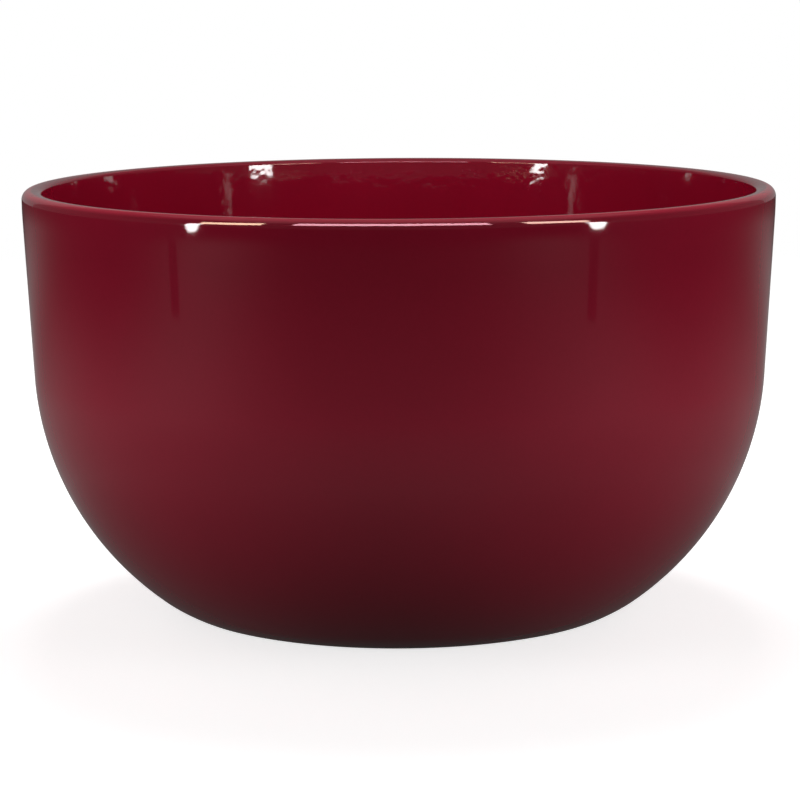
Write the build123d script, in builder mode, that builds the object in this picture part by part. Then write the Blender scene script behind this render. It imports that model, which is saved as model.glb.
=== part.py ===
"""A deep glazed stoneware serving bowl: the fired clay body and the three coats of glaze on it.

Millimetres, with +Z up the bowl's axis and the origin at the centre of the foot ring's flat underside.
Every piece is a profile turned about the axis. A coat and the body are drawn with the same curve where
they meet, so they touch all over and overlap nowhere.
"""

from build123d import *
from math import asin, atan, cos, degrees, hypot, radians, sin, tan
import os

# Driving dimensions, taken over the glaze. Angles are in degrees.
bowl_diameter = 220.0
bowl_height = 124.4
glaze_thickness = 0.4
wall_draft = 3.0  # how far the upper wall leans out from upright
straight_depth = 54.4  # from the rim's crest down to where the wall starts to curve in
belly_radius = 86.9
belly_turn = 53.0  # how far below level the belly's arc runs before the tighter arc of the base
base_radius = 35.0

# The rim is two quarter ellipses that meet at its crest. Below the outer one the wall starts upright, and
# a wide arc turns it to its draft.
rim_outer_width = 2.6
rim_outer_drop = 2.6
rim_band_radius = 115.0
rim_inner_width = 3.2
rim_inner_drop = 1.2

# Inside, the wall follows the outside at one thickness, then an arc leads into a slightly dished floor.
well_radius = 45.0
well_turn = 88.0
floor_height = 7.9  # where the well's arc would be level, above the foot's underside

# The foot ring, bare of glaze, and the recess inside it.
glaze_stop = 0.5  # the outer glaze ends this far above the foot's underside
foot_step = 0.45  # height of the ring's upright outer edge
foot_width = 5.8
foot_slope = 1.0  # how much the ring's inner side leans
foot_edge_radius = 0.3
recess_depth = 3.0
recess_corner_radius = 2.0
recess_glaze_gap = 0.6  # bare clay between the patch of glaze and the recess's rounded corner

lean = radians(wall_draft)


def below_level(centre, radius, angle):
    """The point of a circle at an angle below level, as seen from its centre."""
    return (centre[0] + radius * cos(radians(angle)), centre[1] - radius * sin(radians(angle)))


def across_wall(point):
    """How far a point lies from the bottom of the axis, measured square to the leaning wall."""
    return point[0] * cos(lean) - point[1] * sin(lean)


def lean_angle(width, drop):
    """Where on a rim ellipse, from its wide end, its side leans as much as the wall does."""
    return degrees(atan(drop / width * tan(lean)))


# Centres of the rim's ellipses and of the outside's three arcs
crest_radius = bowl_diameter / 2 - rim_outer_width
outer_rim_centre = (crest_radius, bowl_height - rim_outer_drop)
inner_rim_centre = (crest_radius, bowl_height - rim_inner_drop)
band_centre = (bowl_diameter / 2 - rim_band_radius, outer_rim_centre[1])
outer_wall_reach = across_wall(band_centre) + rim_band_radius
belly_start_height = bowl_height - straight_depth
belly_start_radius = (outer_wall_reach + belly_start_height * sin(lean)) / cos(lean)
belly_centre = below_level((belly_start_radius, belly_start_height), -belly_radius, wall_draft)
base_centre = below_level(belly_centre, belly_radius - base_radius, belly_turn)
glaze_turn = degrees(asin((base_centre[1] - glaze_stop) / base_radius))
foot_turn = degrees(asin((base_centre[1] - foot_step) / (base_radius - glaze_thickness)))

# The inside: the wall's thickness over both coats, and the centres of the well's and the floor's arcs
inner_rim_reach = hypot(rim_inner_width * cos(lean), rim_inner_drop * sin(lean))
inner_wall_reach = across_wall(inner_rim_centre) - inner_rim_reach
wall_thickness = outer_wall_reach - inner_wall_reach
inner_belly_radius = belly_radius - wall_thickness
well_centre_height = floor_height + well_radius
inner_turn = degrees(asin((belly_centre[1] - well_centre_height) / (inner_belly_radius - well_radius)))
well_centre = below_level(belly_centre, inner_belly_radius - well_radius, inner_turn)
floor_radius = well_radius + well_centre[0] / cos(radians(well_turn))
floor_centre = (0, well_centre[1] + well_centre[0] * tan(radians(well_turn)))


def outside_curve(inset, end_turn):
    """The outside from the rim's crest to where its last arc has turned to end_turn below level.

    The curve is set into the wall by inset.
    """
    width = rim_outer_width - inset
    drop = rim_outer_drop - inset
    rim = EllipticalCenterArc(outer_rim_centre, width, drop, 0, arc_size=90)
    band = CenterArc(band_centre, rim_band_radius - inset, 0, -wall_draft)
    belly = CenterArc(belly_centre, belly_radius - inset, -wall_draft, wall_draft - belly_turn)
    base = CenterArc(base_centre, base_radius - inset, -belly_turn, belly_turn - end_turn)
    Line(band @ 1, belly @ 0)
    return rim @ 1, base @ 1


def inside_curve(inset):
    """The inside from the rim's crest to the middle of the floor, set into the wall by inset."""
    width = rim_inner_width - inset
    drop = rim_inner_drop - inset
    rim = EllipticalCenterArc(inner_rim_centre, width, drop, 90, arc_size=90 - lean_angle(width, drop))
    belly = CenterArc(belly_centre, inner_belly_radius + inset, -wall_draft, wall_draft - inner_turn)
    CenterArc(well_centre, well_radius + inset, -inner_turn, inner_turn - well_turn)
    floor = CenterArc(floor_centre, floor_radius + inset, -well_turn, well_turn - 90)
    Line(rim @ 1, belly @ 0)
    return rim @ 0, floor @ 1


# The fired clay: wall, floor and foot ring in one piece
with BuildPart() as stoneware_body:
    with BuildSketch(Plane.XZ):
        with BuildLine():
            _, foot_top = outside_curve(glaze_thickness, foot_turn)
            _, floor_middle = inside_curve(glaze_thickness)
            foot_outer_radius = foot_top.X
            foot_inner_radius = foot_outer_radius - foot_width
            FilletPolyline(
                foot_top,
                (foot_outer_radius, 0),
                (foot_inner_radius, 0),
                (foot_inner_radius - foot_slope, recess_depth),
                (0, recess_depth),
                radius=[foot_edge_radius, foot_edge_radius, recess_corner_radius],
            )
            Line((0, recess_depth), floor_middle)
        make_face()
    revolve(axis=Axis.Z)
stoneware_body.part.label = "stoneware_body"

# The coat on the outside, from the rim's crest to just above the foot's underside
with BuildPart() as outer_glaze:
    with BuildSketch(Plane.XZ):
        with BuildLine():
            glazed_crest, glazed_edge = outside_curve(0, glaze_turn)
            clay_crest, clay_edge = outside_curve(glaze_thickness, glaze_turn)
            Line(glazed_crest, clay_crest)
            Line(glazed_edge, clay_edge)
        make_face()
    revolve(axis=Axis.Z)
outer_glaze.part.label = "outer_glaze"

# The coat on the inside, from the rim's crest across the floor
with BuildPart() as inner_glaze:
    with BuildSketch(Plane.XZ):
        with BuildLine():
            glazed_crest, glazed_middle = inside_curve(0)
            clay_crest, clay_middle = inside_curve(glaze_thickness)
            Line(glazed_crest, clay_crest)
            Line(glazed_middle, clay_middle)
        make_face()
    revolve(axis=Axis.Z)
inner_glaze.part.label = "inner_glaze"

# The round patch of glaze on the recess's ceiling, inside the foot ring
recess_flat_radius = foot_inner_radius - foot_slope - recess_corner_radius
with BuildPart() as foot_well_glaze:
    with BuildSketch(Plane.XY.offset(recess_depth)):
        Circle(recess_flat_radius - recess_glaze_gap)
    extrude(amount=-glaze_thickness)
foot_well_glaze.part.label = "foot_well_glaze"

os.makedirs("parts", exist_ok=True)
for piece in (stoneware_body, outer_glaze, inner_glaze, foot_well_glaze):
    export_step(piece.part, f"parts/{piece.part.label}.step")
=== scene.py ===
"""The looks of a deep glazed serving bowl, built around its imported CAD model.

Metres, +Z up, the bowl's axis at x = y = 0 and its foot at z = 0. The camera looks from -Y.
"""

from math import asin, atan, cos, degrees, hypot, pi, radians, sin, tan

import bpy
import numpy as np
from mathutils import Matrix, Vector


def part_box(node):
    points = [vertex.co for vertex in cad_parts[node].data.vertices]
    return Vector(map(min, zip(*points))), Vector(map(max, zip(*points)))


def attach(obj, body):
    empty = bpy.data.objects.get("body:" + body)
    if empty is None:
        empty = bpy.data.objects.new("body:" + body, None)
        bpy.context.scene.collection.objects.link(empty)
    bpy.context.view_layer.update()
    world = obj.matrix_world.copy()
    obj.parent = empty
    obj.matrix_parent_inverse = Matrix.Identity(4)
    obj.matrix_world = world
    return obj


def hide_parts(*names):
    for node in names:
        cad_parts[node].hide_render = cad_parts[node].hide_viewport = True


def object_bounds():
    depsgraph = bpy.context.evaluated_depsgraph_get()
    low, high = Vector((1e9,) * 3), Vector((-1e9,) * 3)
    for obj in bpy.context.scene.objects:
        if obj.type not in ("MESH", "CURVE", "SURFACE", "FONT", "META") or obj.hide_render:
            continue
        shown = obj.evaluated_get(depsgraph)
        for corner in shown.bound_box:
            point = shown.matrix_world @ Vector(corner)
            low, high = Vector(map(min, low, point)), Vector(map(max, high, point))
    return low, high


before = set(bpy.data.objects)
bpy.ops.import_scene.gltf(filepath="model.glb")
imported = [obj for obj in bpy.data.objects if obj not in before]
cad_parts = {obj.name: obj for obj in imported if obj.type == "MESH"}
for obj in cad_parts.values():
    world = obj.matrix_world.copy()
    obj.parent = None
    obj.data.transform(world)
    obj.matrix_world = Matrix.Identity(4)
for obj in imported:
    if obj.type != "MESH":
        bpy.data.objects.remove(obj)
cad_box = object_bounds()

mm = 0.001

# ------------------------------------------------ dimensions, from the frame and the design
bowl_radius = cad_box[1].x
bowl_height = cad_box[1].z
patch_low, patch_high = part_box("foot_well_glaze")
glaze_thickness = patch_high.z - patch_low.z
recess_depth = patch_high.z
patch_radius = patch_high.x

wall_draft = 3.0  # degrees from upright
lean = radians(wall_draft)
straight_depth = 54.4 * mm
belly_radius = 86.9 * mm
belly_turn = 53.0
base_radius = 35.0 * mm
rim_outer_width = 2.6 * mm
rim_outer_drop = 2.6 * mm
rim_band_radius = 115.0 * mm
rim_inner_width = 3.2 * mm
rim_inner_drop = 1.2 * mm
well_radius = 45.0 * mm
well_turn = 88.0
floor_height = 7.9 * mm
glaze_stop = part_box("outer_glaze")[0].z
foot_step = 0.45 * mm
foot_width = 5.8 * mm  # of the bare ring that the bowl stands on
foot_slope = 1.0 * mm
foot_edge_radius = 0.3 * mm
recess_corner_radius = 2.0 * mm
floor_end_turn = 89.97  # just short of the axis, where the spokes would meet
near_axis = 0.5 * mm


def below_level(centre, radius, angle):
    """The point of a circle at an angle below level, as seen from its centre."""
    return (centre[0] + radius * cos(radians(angle)), centre[1] - radius * sin(radians(angle)))


def across_wall(point):
    """How far a point lies from the bottom of the axis, measured square to the leaning wall."""
    return point[0] * cos(lean) - point[1] * sin(lean)


def lean_angle(width, drop):
    """Where on a rim ellipse, from its wide end, its side leans as much as the wall does."""
    return degrees(atan(drop / width * tan(lean)))


crest_radius = bowl_radius - rim_outer_width
outer_rim_centre = (crest_radius, bowl_height - rim_outer_drop)
inner_rim_centre = (crest_radius, bowl_height - rim_inner_drop)
band_centre = (bowl_radius - rim_band_radius, outer_rim_centre[1])
outer_wall_reach = across_wall(band_centre) + rim_band_radius
belly_start_height = bowl_height - straight_depth
belly_start_radius = (outer_wall_reach + belly_start_height * sin(lean)) / cos(lean)
belly_centre = below_level((belly_start_radius, belly_start_height), -belly_radius, wall_draft)
base_centre = below_level(belly_centre, belly_radius - base_radius, belly_turn)
inner_rim_reach = hypot(rim_inner_width * cos(lean), rim_inner_drop * sin(lean))
inner_wall_reach = across_wall(inner_rim_centre) - inner_rim_reach
wall_thickness = outer_wall_reach - inner_wall_reach
inner_belly_radius = belly_radius - wall_thickness
well_centre_height = floor_height + well_radius
inner_turn = degrees(asin((belly_centre[1] - well_centre_height) / (inner_belly_radius - well_radius)))
well_centre = below_level(belly_centre, inner_belly_radius - well_radius, inner_turn)
floor_radius = well_radius + well_centre[0] / cos(radians(well_turn))
floor_centre = (0, well_centre[1] + well_centre[0] * tan(radians(well_turn)))

# ------------------------------------------------ turned surfaces
spokes = 360
azimuths = np.arange(spokes) * 2 * pi / spokes


def ripple(seed, fewest, most, waves=6):
    """A smooth closed curve round the bowl, from 0 to 1, made of a few waves."""
    draw = np.random.RandomState(seed)
    total = np.zeros(spokes)
    for _ in range(waves):
        turns = draw.randint(fewest, most + 1)
        total += np.sin(turns * azimuths + draw.uniform(0, 2 * pi))
    return 0.5 + 0.5 * total / np.abs(total).max()


def arc(centre, wide, tall, start, end, rows):
    """Rows of profile points along an ellipse's arc, by its angle in degrees.

    end is one angle, or one for each spoke.
    """
    share = np.linspace(0, 1, rows)[:, None]
    angle = np.radians(start + share * (np.ones(spokes) * end - start))
    return np.stack([centre[0] + wide * np.cos(angle), centre[1] + tall * np.sin(angle)], axis=-1)


def circle_arc(centre, radius, start, end, rows):
    return arc(centre, radius, radius, start, end, rows)


def line(start, end, rows):
    """Rows of profile points along a straight line."""
    share = np.linspace(0, 1, rows)[:, None, None]
    points = np.array(start) + share * (np.array(end) - np.array(start))
    return np.broadcast_to(points, (rows, spokes, 2)).copy()


def joined(*parts):
    """Profile parts end to end, each point that two of them share kept once."""
    return np.concatenate([part[:-1] for part in parts[:-1]] + [parts[-1]])


def outside_profile(inset, end_turn):
    """From where the base's arc is end_turn below level up to the rim's crest, set in by inset."""
    base, belly, band = base_radius - inset, belly_radius - inset, rim_band_radius - inset
    wall_start = below_level(belly_centre, belly, wall_draft)
    wall_end = below_level(band_centre, band, wall_draft)
    return joined(
        circle_arc(base_centre, base, -belly_turn, -end_turn, rows=24)[::-1],
        circle_arc(belly_centre, belly, -belly_turn, -wall_draft, rows=60),
        line(wall_start, wall_end, rows=26),
        circle_arc(band_centre, band, -wall_draft, 0, rows=14),
        arc(outer_rim_centre, rim_outer_width - inset, rim_outer_drop - inset, 0, 90, rows=48),
    )


def inside_profile(inset):
    """From the rim's crest down to where the floor's arc nears the axis, set in by inset."""
    width, drop = rim_inner_width - inset, rim_inner_drop - inset
    belly, well, floor = inner_belly_radius + inset, well_radius + inset, floor_radius + inset
    rim = arc(inner_rim_centre, width, drop, 90, 180 - lean_angle(width, drop), rows=40)
    return joined(
        rim,
        line(rim[-1, 0], below_level(belly_centre, belly, wall_draft), rows=30),
        circle_arc(belly_centre, belly, -wall_draft, -inner_turn, rows=30),
        circle_arc(well_centre, well, -inner_turn, -well_turn, rows=36),
        circle_arc(floor_centre, floor, -well_turn, -floor_end_turn, rows=24),
    )


def turned(profile):
    """Rows of profile points placed in space, one spoke after another."""
    radius, height = profile[..., 0], profile[..., 1]
    return np.stack([radius * np.cos(azimuths), radius * np.sin(azimuths), height], axis=-1)


def normals_of(grid):
    """Unit normals of turned rows: on the right of the way they run, in a profile with +X to the right."""
    along = np.gradient(grid, axis=0)
    around = np.roll(grid, -1, axis=1) - np.roll(grid, 1, axis=1)
    normal = np.cross(around, along)
    return normal / np.linalg.norm(normal, axis=-1, keepdims=True)


def section(profile, change=None):
    """A (points, normals) section for turned_piece, from profile rows and a change to them in space."""
    grid = turned(profile)
    if change:
        grid = change(grid, normals_of(grid))
    return grid, normals_of(grid)


def turned_piece(name, sections, start_middle=None, end_middle=None):
    """A closed mesh from (points, normals) sections that run on from each other and share their end rows.

    Each face takes its normals from its own section, so sections may meet at a sharp edge. The mesh closes
    on its two middles, each a (point, normal), or, without them, on its own first row.
    """
    starts = np.cumsum([0] + [grid.shape[0] - 1 for grid, _ in sections])
    rows = [grid[:-1] for grid, _ in sections]
    if start_middle:
        rows.append(sections[-1][0][-1:])
    points = np.concatenate(rows)
    row_count = points.shape[0]
    points = points.reshape(-1, 3)
    column = np.arange(spokes)
    after = np.roll(column, -1)
    faces, normals = [], []
    for (grid, normal), start in zip(sections, starts):
        row = np.arange(grid.shape[0] - 1)[:, None]
        low = (start + row) % row_count * spokes
        high = (start + row + 1) % row_count * spokes
        quads = np.stack([low + column, low + after, high + after, high + column], axis=-1)
        faces += quads.reshape(-1, 4).tolist()
        corners = [normal[:-1], normal[:-1][:, after], normal[1:][:, after], normal[1:]]
        normals.append(np.stack(corners, axis=2).reshape(-1, 3))
    if start_middle:
        last = (row_count - 1) * spokes
        first_normal, last_normal = sections[0][1][0], sections[-1][1][-1]
        start_normal = np.broadcast_to(start_middle[1], first_normal.shape)
        end_normal = np.broadcast_to(end_middle[1], last_normal.shape)
        faces += [[len(points), int(b), int(a)] for a, b in zip(column, after)]
        faces += [[int(last + a), int(last + b), len(points) + 1] for a, b in zip(column, after)]
        normals.append(np.stack([start_normal, first_normal[after], first_normal], axis=1).reshape(-1, 3))
        normals.append(np.stack([last_normal, last_normal[after], end_normal], axis=1).reshape(-1, 3))
        points = np.concatenate([points, [start_middle[0]], [end_middle[0]]])
    mesh = bpy.data.meshes.new(name)
    mesh.from_pydata(points.tolist(), [], faces)
    mesh.polygons.foreach_set("use_smooth", np.ones(len(faces), bool))
    mesh.normals_split_custom_set(np.concatenate(normals).tolist())
    piece = bpy.data.objects.new(name, mesh)
    bpy.context.scene.collection.objects.link(piece)
    return piece


# ------------------------------------------------ the two coats of glaze, meeting at the crest
settle_depth = 0.03 * mm
still_radius = 40 * mm  # inside it the settling dies away towards the axis
glaze_roll = 0.1 * mm  # how much the outer coat thickens at its lower edge
glaze_roll_height = 1.3 * mm
edge_wander = 0.5  # degrees along the base's arc that the coat's lower edge wanders by
edge_reach = degrees(glaze_thickness / 2 / base_radius)
glaze_turn = degrees(asin((base_centre[1] - glaze_stop) / base_radius))
foot_turn = degrees(asin((base_centre[1] - foot_step) / (base_radius - glaze_thickness)))
settle_ripples = [ripple(11, 2, 5), ripple(12, 3, 7), ripple(13, 2, 6), ripple(14, 5, 9)]


def settled(grid, normal):
    """The glazed surface as it melts: drawn in by up to settle_depth, and rolled out at its lower edge."""
    height = grid[..., 2] / bowl_height
    weights = (np.ones_like(height), height, 1 - height, np.sin(pi * height) ** 2)
    share = sum(weight * wave for weight, wave in zip(weights, settle_ripples)) / len(settle_ripples)
    away_from_middle = np.minimum(1, np.hypot(grid[..., 0], grid[..., 1]) / still_radius) ** 2
    roll = glaze_roll * np.exp(-(((grid[..., 2] - glaze_stop) / glaze_roll_height) ** 2))
    outward = (normal[..., 2] < 0) * roll
    return grid + normal * (outward - settle_depth * share * away_from_middle)[..., None]


glaze_end = glaze_turn - edge_reach - edge_wander * ripple(21, 3, 19, waves=9)
outside = outside_profile(0, glaze_end)
crest_row = outside.shape[0] - 1
glazed, glazed_normal = section(joined(outside, inside_profile(0)), settled)


def thinned(profile, step):
    """Every step-th row of a profile, and its last, for surfaces that show little or not at all."""
    return np.concatenate([profile[:-1:step], profile[-1:]])


def hidden(first, last):
    """A section of one row of faces inside the bowl's wall, where shading doesn't matter."""
    grid = np.stack([first, last])
    return grid, np.zeros_like(grid)


def rounded_edge(first, last, beyond, rows=7):
    """A half round from one row of points to another, bulging away from the points in beyond."""
    middle, half = (first + last) / 2, (first - last) / 2
    bulge = first - beyond
    reach = np.linalg.norm(half, axis=-1, keepdims=True)
    bulge = bulge / np.linalg.norm(bulge, axis=-1, keepdims=True) * reach
    turn = np.linspace(0, pi, rows)[:, None, None]
    grid = middle + half * np.cos(turn) + bulge * np.sin(turn)
    return grid, normals_of(grid)


clay_side = section(thinned(outside_profile(glaze_thickness, glaze_end)[::-1], step=3))
outer_coat = turned_piece(
    "outer_glaze_coat",
    [
        (glazed[: crest_row + 1], glazed_normal[: crest_row + 1]),
        hidden(glazed[crest_row], clay_side[0][0]),
        clay_side,
        rounded_edge(clay_side[0][-1], glazed[0], clay_side[0][-2]),
    ],
)

floor_level = floor_centre[1] - floor_radius
clay_side = section(thinned(inside_profile(glaze_thickness)[::-1], step=3))
inner_coat = turned_piece(
    "inner_glaze_coat",
    [
        clay_side,
        hidden(clay_side[0][-1], glazed[crest_row]),
        (glazed[crest_row:], glazed_normal[crest_row:]),
    ],
    start_middle=((0, 0, floor_level - glaze_thickness), (0, 0, -1)),
    end_middle=((0, 0, floor_level), (0, 0, 1)),
)

# ------------------------------------------------ the fired clay, bare at the foot ring
ring_pitch = 1.5 * mm  # of the shallow rings that turning leaves on the clay
ring_depth = 0.03 * mm
corner_rows = 9
foot_outer_radius = below_level(base_centre, base_radius - glaze_thickness, foot_turn)[0]
foot_inner_radius = foot_outer_radius - foot_width
corner_lean = degrees(atan(foot_slope / recess_depth))


def ringed(grid, normal):
    """Turning rings cut into the clay's downward faces, and none on its sides."""
    radius = np.hypot(grid[..., 0], grid[..., 1])
    ring = 0.5 - 0.5 * np.cos(2 * pi * radius / ring_pitch)
    depth = ring_depth * ring * np.maximum(0, -normal[..., 2]) ** 4
    return grid - normal * depth[..., None]


recess_flat_radius = foot_inner_radius - foot_slope - recess_corner_radius
recess_corner_centre = (recess_flat_radius, recess_depth - recess_corner_radius)
inner_edge_centre = (foot_inner_radius + foot_edge_radius, foot_edge_radius)
outer_edge_centre = (foot_outer_radius - foot_edge_radius, foot_edge_radius)
recess_corner = circle_arc(recess_corner_centre, recess_corner_radius, 90, corner_lean, corner_rows)
inner_foot_edge = circle_arc(inner_edge_centre, foot_edge_radius, 180 + corner_lean, 270, corner_rows)
outer_foot_edge = circle_arc(outer_edge_centre, foot_edge_radius, 270, 360, corner_rows)
covered_radius = patch_radius - 2 * mm  # how far out the patch of glaze surely covers the clay
underside = joined(
    line((near_axis, recess_depth), (covered_radius, recess_depth), rows=12),
    line((covered_radius, recess_depth), (recess_flat_radius, recess_depth), rows=16),
    recess_corner,
    line(recess_corner[-1, 0], inner_foot_edge[0, 0], rows=4),
    inner_foot_edge,
    line(inner_foot_edge[-1, 0], outer_foot_edge[0, 0], rows=30),
    outer_foot_edge,
)
clay_outside = thinned(outside_profile(glaze_thickness, foot_turn), step=2)
clay_inside = thinned(inside_profile(glaze_thickness), step=2)
clay_body = turned_piece(
    "fired_clay_body",
    [section(joined(underside, clay_outside), ringed), section(clay_inside)],
    start_middle=((0, 0, recess_depth), (0, 0, -1)),
    end_middle=((0, 0, floor_level - glaze_thickness), (0, 0, 1)),
)

# ------------------------------------------------ the patch of glaze in the foot ring's recess
brush_wander = 0.9 * mm  # how far in the patch's brushed edge wanders
patch_edge = patch_radius - brush_wander * ripple(31, 2, 17, waves=9)
patch_edge_width = 1.2 * mm
pool_spacing = 9 * mm
pool_depth = 0.06 * mm
pool_start = 20 * mm
pool_margin = 6 * mm


def patch_profile(rows=60, edge_rows=12, first_share=0.01):
    """From near the axis out over the patch's glossy underside and round its edge to the clay."""
    share = np.linspace(first_share, 1, rows)[:, None]
    radius = share * (patch_edge - patch_edge_width)
    low = np.stack([radius, np.full_like(radius, patch_low.z)], axis=-1)
    turn = np.linspace(0, pi / 2, edge_rows)[:, None]
    edge_radius = patch_edge - patch_edge_width * (1 - np.sin(turn))
    edge_height = patch_high.z - glaze_thickness * np.cos(turn) * np.ones(spokes)
    return joined(low, np.stack([edge_radius, edge_height], axis=-1))


def pooled(grid, normal):
    """Slow waves in the patch's flat underside, from glaze that was brushed on and pooled."""
    radius = np.hypot(grid[..., 0], grid[..., 1])
    faces_down = normal[..., 2] < -0.99
    share = 0.5 - 0.5 * np.cos(2 * pi * radius / pool_spacing) * ripple(33, 2, 5)
    depth = pool_depth * share * faces_down * np.minimum(1, radius / pool_start) ** 2
    fade = np.clip((patch_edge - radius) / pool_margin, 0, 1)
    return grid - normal * (depth * fade)[..., None]


patch_under = patch_profile()
patch_top = np.stack([patch_under[-1], patch_under[0] * (1, 0) + (0, patch_high.z)])
well_patch = turned_piece(
    "foot_well_glaze_patch",
    [section(patch_under, pooled), section(patch_top)],
    start_middle=((0, 0, patch_low.z), (0, 0, -1)),
    end_middle=((0, 0, patch_high.z), (0, 0, 1)),
)

# ------------------------------------------------ materials


class Nodes:
    """Adds linked shader nodes to a material.

    A node's input is given by its name, with _ for a space, or as i and its number. A socket is linked to
    it, and any other value is set on it.
    """

    def __init__(self, name):
        self.material = bpy.data.materials.new(name)
        self.material.use_nodes = True
        self.tree = self.material.node_tree
        self.tree.nodes.clear()

    def add(self, kind, settings=None, **inputs):
        node = self.tree.nodes.new("ShaderNode" + kind)
        for setting, value in (settings or {}).items():
            setattr(node, setting, value)
        for name, value in inputs.items():
            by_number = name[1:].isdigit()
            socket = node.inputs[int(name[1:]) if by_number else name.replace("_", " ")]
            if isinstance(value, bpy.types.NodeSocket):
                self.tree.links.new(value, socket)
            else:
                socket.default_value = value
        return node

    def math(self, operation, first, second=0.0, third=0.0):
        return self.add("Math", {"operation": operation}, i0=first, i1=second, i2=third).outputs[0]

    def noise(self, place, scale, detail=2.0, roughness=0.5):
        node = self.add("TexNoise", Vector=place, Scale=scale, Detail=detail, Roughness=roughness)
        return node.outputs["Fac"]

    def spread(self, value, low, high, out_low=0.0, out_high=1.0):
        """Maps low..high of value to out_low..out_high, held at the ends."""
        node = self.add("MapRange", {"clamp": True}, i0=value, i1=low, i2=high, i3=out_low, i4=out_high)
        return node.outputs[0]

    def mix(self, share, first, second):
        node = self.add("Mix", {"data_type": "RGBA"}, i0=share, i6=first, i7=second)
        return node.outputs[2]

    def finish(self, shader):
        self.add("OutputMaterial", Surface=shader)
        return self.material


dark_and_shaded_red = (0.315, 0.0045, 0.025, 1)
pale_and_lit_red = (0.44, 0.0075, 0.037, 1)
rim_edge_red = (0.85, 0.03, 0.08, 1)
# heights of the painted shading on the glaze: lightest at the first, darkest from the second up to the rim
painted_light_peak_height = 70 * mm
painted_dark_from_height = 110 * mm
rim_edge_depth = 1.3 * mm  # how far down the rim's outer edge the red is lighter
rim_edge_starts = crest_radius - 0.4 * mm
rim_edge_complete = crest_radius + 0.2 * mm


def glaze_finish(name, peel_depth):
    """Glossy dark red glaze whose surface waves by about peel_depth.

    It is a little lighter half way up and darker towards the rim and, less, towards the foot, painted
    shading for how the light falls on the wall, and lightest on the rim's outer edge.
    """
    n = Nodes(name)
    place = n.add("TexCoord").outputs["Object"]
    height = n.add("SeparateXYZ", Vector=place).outputs["Z"]
    clouds = n.noise(place, scale=26, detail=3)
    mottle = n.noise(place, scale=900, detail=2)
    shade = n.math("MULTIPLY_ADD", mottle, 0.35, n.math("MULTIPLY", clouds, 0.65))
    # painted shading for how the light falls: lighter half way up the wall, darker towards the rim and the
    # foot
    rising = n.spread(height, 0, painted_light_peak_height, out_low=0.3, out_high=1)
    falling = n.spread(height, painted_light_peak_height, painted_dark_from_height, out_low=1, out_high=0)
    painted_light_share = n.math("MULTIPLY", rising, falling)
    share = n.math("MULTIPLY_ADD", n.spread(shade, 0.35, 0.65), 0.25, n.math("MULTIPLY", painted_light_share, 0.75))
    colour = n.mix(share, dark_and_shaded_red, pale_and_lit_red)
    level_place = n.add("VectorMath", {"operation": "MULTIPLY"}, i0=place, i1=(1, 1, 0)).outputs[0]
    radius = n.add("VectorMath", {"operation": "LENGTH"}, i0=level_place).outputs["Value"]
    outer_side = n.spread(radius, rim_edge_starts, rim_edge_complete)
    near_top = n.spread(height, bowl_height - rim_edge_depth, bowl_height, out_low=0, out_high=0.85)
    colour = n.mix(n.math("MULTIPLY", outer_side, near_top), colour, rim_edge_red)
    peel = n.noise(place, scale=340, detail=1, roughness=0.4)
    bump = n.add("Bump", Height=peel, Strength=1.0, Distance=peel_depth).outputs[0]
    shader = n.add("BsdfPrincipled", Base_Color=colour, Roughness=0.05, IOR=1.5, Normal=bump)
    return n.finish(shader.outputs[0])


clay_buff = (0.50, 0.39, 0.29, 1)
clay_pale = (0.60, 0.48, 0.37, 1)
grain_brown = (0.30, 0.21, 0.14, 1)
speck_brown = (0.10, 0.06, 0.04, 1)
grain_depth = 0.06 * mm


def clay_finish():
    """Matt fired clay, unevenly buff, gritty, with small dark specks."""
    n = Nodes("stoneware_finish")
    place = n.add("TexCoord").outputs["Object"]
    grain = n.noise(place, scale=1400, detail=4, roughness=0.6)
    clouds = n.noise(place, scale=60, detail=3)
    specks = n.add("TexVoronoi", {"feature": "F1"}, Vector=place, Scale=420.0).outputs["Distance"]
    colour = n.mix(n.spread(clouds, 0.35, 0.65), clay_buff, clay_pale)
    colour = n.mix(n.spread(grain, 0.35, 0.75, out_low=0, out_high=0.35), colour, grain_brown)
    colour = n.mix(n.spread(specks, 0.10, 0.16, out_low=0.8, out_high=0), colour, speck_brown)
    bump = n.add("Bump", Height=grain, Strength=1.0, Distance=grain_depth).outputs[0]
    rough = n.spread(clouds, 0.3, 0.7, out_low=0.72, out_high=0.9)
    shader = n.add("BsdfPrincipled", Base_Color=colour, Roughness=rough, IOR=1.45, Normal=bump)
    return n.finish(shader.outputs[0])


outer_glaze = glaze_finish("outer_glaze_finish", peel_depth=0.005 * mm)
inner_glaze = glaze_finish("inner_glaze_finish", peel_depth=0.04 * mm)
clay_material = clay_finish()
for piece, node, material, slot in (
    (outer_coat, "outer_glaze", outer_glaze, "red_glaze"),
    (inner_coat, "inner_glaze", inner_glaze, "red_glaze"),
    (well_patch, "foot_well_glaze", outer_glaze, "red_glaze"),
    (clay_body, "stoneware_body", clay_material, "stoneware"),
):
    piece.data.materials.append(material)
    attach(piece, "root")
    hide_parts(node)

# ------------------------------------------------ floor and surroundings
white = (1, 1, 1, 1)
table_white = (1, 0.99, 0.97, 1)
one_face = [(0, 1, 2, 3)]
diffuse = ("diffuse",)
glossy = ("glossy",)


def stage_object(name, points, faces, material, seen_by):
    """Part of the set, seen only by the kinds of ray that are named."""
    mesh = bpy.data.meshes.new(name)
    mesh.from_pydata(points, [], faces)
    mesh.materials.append(material)
    thing = bpy.data.objects.new(name, mesh)
    bpy.context.scene.collection.objects.link(thing)
    for ray in ("camera", "diffuse", "glossy", "transmission", "volume_scatter", "shadow"):
        setattr(thing, "visible_" + ray, ray in seen_by)


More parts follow.
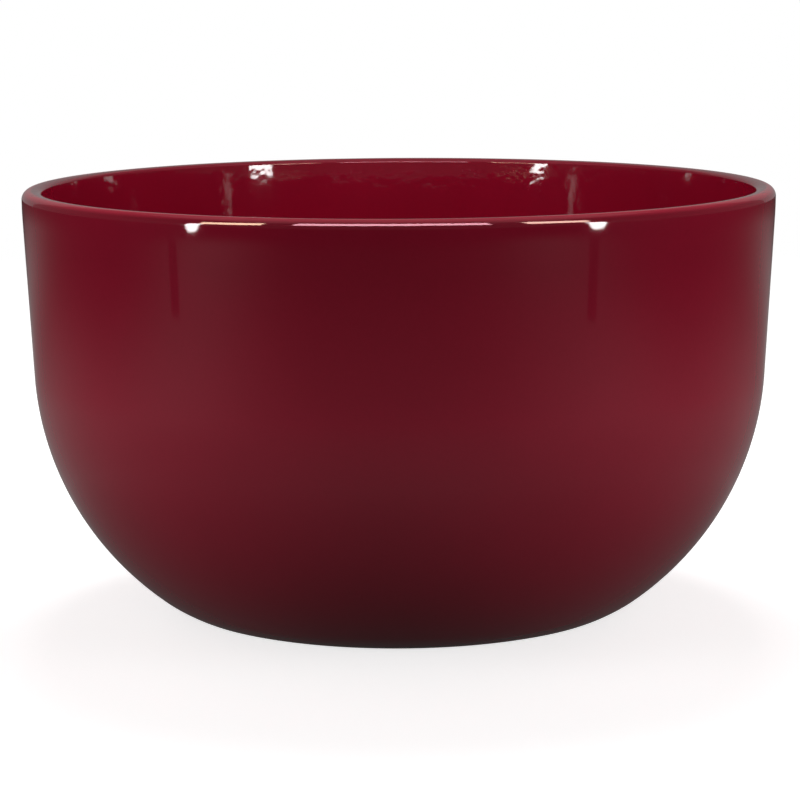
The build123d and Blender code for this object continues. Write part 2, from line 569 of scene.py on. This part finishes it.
def square(half, height):
    """The corners of a level square round the bowl's axis, half being half its width."""
    return [(-half, -half, height), (half, -half, height), (half, half, height), (-half, half, height)]


def glowing(n, colour, strength):
    return n.add("Emission", Color=colour, Strength=strength).outputs[0]


def glow_finish(name, strength):
    n = Nodes(name)
    return n.finish(glowing(n, white, strength))


floor_paint = (0.75, 0.75, 0.75, 1)
floor_glow = 0.74
floor_half_width = 1.2
floor_fades_from = 0.35
floor_gone_by = 1.0


def floor_finish():
    """Pale and matt near the bowl, and clear further off, so that it runs into the backdrop."""
    n = Nodes("floor_finish")
    place = n.add("TexCoord").outputs["Object"]
    distance = n.add("VectorMath", {"operation": "LENGTH"}, i0=place).outputs["Value"]
    paint = n.add("BsdfDiffuse", Color=floor_paint).outputs[0]
    glow = glowing(n, white, floor_glow)
    surface = n.add("AddShader", i0=paint, i1=glow).outputs[0]
    clear = n.add("BsdfTransparent").outputs[0]
    share = n.spread(distance, floor_fades_from, floor_gone_by)
    return n.finish(n.add("MixShader", i0=share, i1=surface, i2=clear).outputs[0])


backdrop_reach = 5  # a box all round, near enough for every view's camera to see it
box_corners = [(x, y, z) for x in (-1, 1) for y in (-1, 1) for z in (-1, 1)]
box_points = [tuple(backdrop_reach * Vector(corner)) for corner in box_corners]
box_faces = [(0, 1, 3, 2), (4, 6, 7, 5), (0, 4, 5, 1), (2, 3, 7, 6), (0, 2, 6, 4), (1, 5, 7, 3)]
stage_object("floor", square(floor_half_width, 0), one_face, floor_finish(), ("camera", "shadow"))
stage_object("backdrop", box_points, box_faces, glow_finish("backdrop_white", 1.0), ("camera",))

# The table that the glaze sees is apart from the floor that the camera sees, and just below it.
table_height = -0.2 * mm
table_light_half_width = 1.0
table_light_glow = 0.12
shade_radius = 0.20  # the table throws up no light from this close to the bowl's axis
shade_end_radius = 0.32
mirrored_half_width = 2.0
mirrored_grey = 0.04
mirrored_shade = 0.25  # how much of the table's brightness is left under the bowl
mirrored_shade_radius = 0.06
mirrored_shade_end_radius = 0.17
table_pools = (  # x, y, width and brightness of each soft pool of light on the table
    (0.0, -0.14, 0.36, 0.17),
    (-0.36, -0.19, 0.18, 0.20),
    (0.34, -0.20, 0.18, 0.17),
    (-0.33, 0.14, 0.21, 0.15),
    (0.33, 0.14, 0.21, 0.13),
    (-0.58, -0.42, 0.19, 0.22),
    (0.52, -0.54, 0.21, 0.17),
    (-0.50, 0.70, 0.32, 0.16),
    (0.50, 0.70, 0.32, 0.17),
    (0.0, 0.52, 0.24, 0.35),
)


def table_light_finish():
    """The light that the table throws up at the bowl, none of it from where the bowl shades the table."""
    n = Nodes("table_light_finish")
    place = n.add("TexCoord").outputs["Object"]
    distance = n.add("VectorMath", {"operation": "LENGTH"}, i0=place).outputs["Value"]
    glow = n.spread(distance, shade_radius, shade_end_radius, 0, table_light_glow)
    return n.finish(glowing(n, table_white, glow))


def table_finish():
    """What the glaze mirrors below it: grey, dark where the bowl shades it, and bright by each lamp."""
    n = Nodes("table_finish")
    place = n.add("TexCoord").outputs["Object"]

    def pool(x, y, width, amount):
        distance = n.add("VectorMath", {"operation": "DISTANCE"}, i0=place, i1=(x, y, 0)).outputs["Value"]
        square_distance = n.math("POWER", n.math("DIVIDE", distance, width), 2)
        return n.math("MULTIPLY", n.math("EXPONENT", n.math("MULTIPLY", square_distance, -1)), amount)

    glow = mirrored_grey
    for spot in table_pools:
        glow = n.math("ADD", glow, pool(*spot))
    distance = n.add("VectorMath", {"operation": "LENGTH"}, i0=place).outputs["Value"]
    shade = n.spread(distance, mirrored_shade_radius, mirrored_shade_end_radius, mirrored_shade, 1)
    return n.finish(glowing(n, table_white, n.math("MULTIPLY", glow, shade)))


mirrored_table = square(mirrored_half_width, table_height)
stage_object("table_bounce", mirrored_table, one_face, table_finish(), glossy)
lit_table = square(table_light_half_width, table_height)
stage_object("table_light", lit_table, one_face, table_light_finish(), diffuse)

studio_grey = (0.12, 0.12, 0.12, 1)
world = bpy.data.worlds.new("studio")
world.use_nodes = True
world.node_tree.nodes["Background"].inputs["Color"].default_value = studio_grey
world.cycles_visibility.diffuse = False
bpy.context.scene.world = world

# ------------------------------------------------ lights


def panel(name, centre, across, up, radiance, lights, colour=(1, 1, 1)):
    """A soft lamp with a flat face: across and up are its whole width and height as vectors.

    It faces the bowl, and lights names the kinds of surface that it lights or shows in.
    """
    across, up, centre = Vector(across), Vector(up), Vector(centre)
    up_side = up - across * (up.dot(across) / across.dot(across))
    facing = across.cross(up_side).normalized()
    data = bpy.data.lights.new(name, "AREA")
    data.shape = "RECTANGLE"
    data.size = across.length
    data.size_y = up_side.length
    data.color = colour
    data.energy = radiance * pi * data.size * data.size_y
    lamp = bpy.data.objects.new(name, data)
    turn = Matrix((across.normalized(), up_side.normalized(), facing)).transposed()
    if facing.dot(centre) < 0:
        turn = Matrix((-across.normalized(), up_side.normalized(), -facing)).transposed()
    lamp.matrix_world = Matrix.Translation(centre) @ turn.to_4x4()
    bpy.context.scene.collection.objects.link(lamp)
    lamp.visible_diffuse = "diffuse" in lights
    lamp.visible_glossy = "glossy" in lights
    return lamp


strip_steps = 16
strip_rounding = 0.012  # how far a strip's lower corners are rounded up
strip_finish = glow_finish("lamp_strip_white", 26)
stand_finish = glow_finish("lamp_stand_dim", 0.07)
stand_height = 0.055


def lamp_strip(middle, across, top, bottom, slope):
    """A bright upright lamp whose lower edge rises by slope along it and has rounded corners."""
    points = []
    for step in range(strip_steps + 1):
        shift = step / strip_steps - 0.5
        low = bottom + slope * shift + strip_rounding * (2 * abs(shift)) ** 4
        points += [tuple(middle + across * shift + Vector((0, 0, z))) for z in (low, top)]
    faces = [(2 * k, 2 * k + 2, 2 * k + 3, 2 * k + 1) for k in range(strip_steps)]
    stage_object("lamp_strip", points, faces, strip_finish, glossy)


def lamp_stand(place, half):
    """What a lamp stands on, of which the glaze mirrors a faint upright line."""
    rise = Vector((0, 0, stand_height))
    points = [place - half, place + half, place + half + rise, place - half + rise]
    stage_object("lamp_stand", [tuple(point) for point in points], one_face, stand_finish, glossy)


def side_lights(side):
    """The soft lights to the bowl's left, for side -1, or right, for side 1."""
    fill = 3.9 + side * 0.15
    high = 0.55 - side * 0.2
    panel("side_fill", (side * 0.75, -0.25, 0.17), (0.1, side * 0.4, 0), (0, 0, 0.34), fill, diffuse)
    panel("side_high", (side * 0.65, -0.35, 0.8), (0.3, side * 0.4, 0), (-side * 0.2, 0, 0.3), high, diffuse)
    panel("back_soft", (side * 0.8, 0.7, 0.7), (0.5, -side * 0.6, 0), (0, 0.3, 0.6), 0.8, diffuse)
    panel("back_low", (side * 0.55, 0.75, 0.15), (0.6, -side * 0.4, 0), (0, 0, 0.3), 2.2, diffuse)


left_strip = (Vector((-0.341, -0.241, 0)), Vector((0.044, -0.011, 0)))
right_strip = (Vector((0.378, -0.279, 0)), Vector((0.125, -0.020, 0)))
lamp_strip(*left_strip, top=0.2325, bottom=0.0815, slope=0.007)
lamp_strip(*right_strip, top=0.2265, bottom=0.0765, slope=-0.012)
for side, stand_place in ((-1, Vector((-0.494, -0.243, 0))), (1, Vector((0.428, -0.317, 0)))):
    lamp_stand(stand_place, Vector((0.008, side * 0.011, 0)))
    side_lights(side)

# Each panel's centre, width, height, radiance, the surfaces that it lights and, for a bar, its colour.
bar_height = (0, 0.04, 0.12)
panel("bar_left", (-0.27, -0.24, 0.30), (0.17, 0, 0), bar_height, 22, glossy, (1.0, 0.70, 0.48))
panel("bar_middle", (-0.01, -0.24, 0.32), (0.25, 0, 0), bar_height, 18, glossy, (1.0, 0.50, 0.60))
panel("bar_right", (0.25, -0.24, 0.31), (0.16, 0, 0), bar_height, 20, glossy, (1.0, 0.65, 0.53))
panel("front_low", (0, -1.2, 0.35), (0.9, 0, 0), (0, 0, 0.5), 1.1, diffuse)
mouth_light = panel("mouth_light", (0, -0.06, 0.24), (0.08, 0, 0), (0, 0.06, 0.06), 0.9, diffuse)
mouth_light.data.spread = radians(80)
panel("behind", (0, 1.9, 0.6), (3.0, 0, 0), (0, 0, 1.4), 0.15, glossy)
panel("high_behind", (0, 0.9, 1.7), (0.6, 0, 0), (0, 0.5, -0.3), 9, diffuse)
panel("overhead", (0, 0.1, 1.2), (1.5, 0, 0), (0, 1.3, 0), 0.25, diffuse + glossy)

# ------------------------------------------------ camera, as the bowl was seen
camera_distance = 8 * bowl_radius
camera_elevation = radians(8.87)
camera_roll = -0.00553  # radians
camera_target_shift = 0.06 * mm
camera_target_drop = 0.5818 * bowl_radius  # below the rim
camera_target = Vector((camera_target_shift, 0, bowl_height - camera_target_drop))
camera_data = bpy.data.cameras.new("camera")
camera_data.lens = 133.3
camera_data.sensor_width = 36
camera = bpy.data.objects.new("camera", camera_data)
bpy.context.scene.collection.objects.link(camera)
to_camera = Vector((0, -cos(camera_elevation), sin(camera_elevation)))
camera_up = (0, sin(camera_elevation), cos(camera_elevation))
upright = Matrix(((1, 0, 0), camera_up, tuple(to_camera))).transposed()
camera.matrix_world = (
    Matrix.Translation(camera_target + to_camera * camera_distance)
    @ upright.to_4x4()
    @ Matrix.Rotation(camera_roll, 4, "Z")
)
bpy.context.scene.camera = camera
bpy.context.scene.view_settings.view_transform = "Standard"

bpy.context.view_layer.update()
